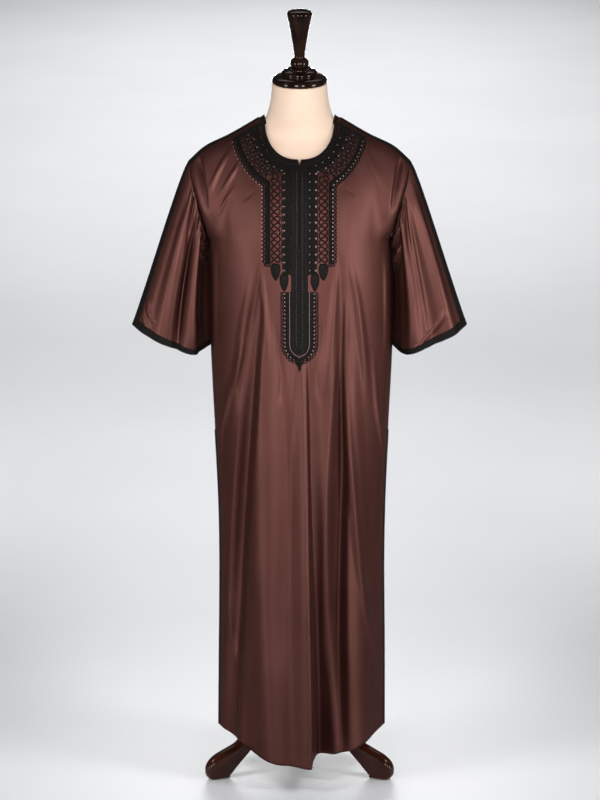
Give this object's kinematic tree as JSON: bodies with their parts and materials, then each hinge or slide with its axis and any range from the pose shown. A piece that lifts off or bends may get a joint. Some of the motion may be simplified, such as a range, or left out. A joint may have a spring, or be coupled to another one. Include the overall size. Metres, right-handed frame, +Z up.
{
  "type": "men's short-sleeved satin jalabiya on a limbless dress form with a wooden tripod stand",
  "caption": "Ankle-length loose satin robe with wide elbow sleeves, slit round neck, embroidered yoke and braided seams, displayed on a limbless form on turned wooden legs.",
  "frame": {"origin": "floor point under the stand's pole, in the middle of the whole", "axes": "+Z up along the pole, the front of the garment faces -Y, +X to the right as seen from the front"},
  "size_m": [0.7352, 0.4613, 1.6846],
  "materials": {
    "satin": "satin weave, soft sheen",
    "trim": "matt braid and cord",
    "cover": "matt knit",
    "dark_wood": "gloss lacquer",
    "wood": "gloss lacquer"
  },
  "bodies": {
    "root": {"front_panel": "satin", "back_panel": "satin", "left_sleeve": "satin", "right_sleeve": "satin", "left_cuff_braid": "trim", "right_cuff_braid": "trim", "left_shoulder_braid": "trim", "right_shoulder_braid": "trim", "left_side_braid": "trim", "right_side_braid": "trim", "neck_band": "trim", "placket": "trim", "left_yoke": "trim", "right_yoke": "trim", "left_outer_drop": "trim", "left_inner_drop": "trim", "right_outer_drop": "trim", "right_inner_drop": "trim", "placket_end": "trim", "torso": "cover", "neck_cap": "dark_wood", "finial": "dark_wood", "pole": "wood", "hub": "wood", "left_leg": "wood", "right_leg": "wood", "rear_leg": "wood"}
  },
  "joints": []
}
